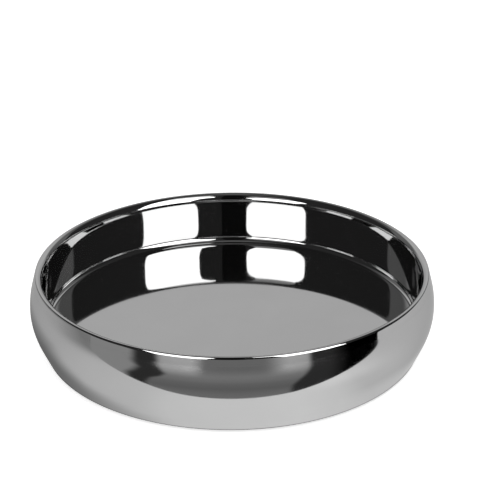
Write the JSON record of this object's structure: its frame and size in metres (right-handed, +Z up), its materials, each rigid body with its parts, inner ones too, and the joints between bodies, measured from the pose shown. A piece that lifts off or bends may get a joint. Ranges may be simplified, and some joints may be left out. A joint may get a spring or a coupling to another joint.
{
  "type": "double-walled serving dish",
  "caption": "Round shallow serving dish in mirror-polished stainless steel, with a bulging outer shell, rolled lip, upright inner wall and flat raised floor.",
  "frame": {"origin": "on the dish's axis, in the plane that the foot pads rest on", "axes": "+Z up along the dish's axis, out of its mouth; +X through the first foot pad"},
  "size_m": [0.2988, 0.2988, 0.0594],
  "materials": {
    "polished_steel": "mirror-polished stainless steel",
    "satin_steel": "turned satin stainless steel",
    "pad_rubber": "matte black rubber"
  },
  "bodies": {
    "root": {"inner_pan": "polished_steel", "outer_shell": "polished_steel", "rim_weld": "polished_steel", "base_plate": "satin_steel", "base_weld": "satin_steel", "vent_plug": "satin_steel", "foot_pad_1": "pad_rubber", "foot_pad_2": "pad_rubber", "foot_pad_3": "pad_rubber", "foot_pad_4": "pad_rubber"}
  },
  "joints": []
}
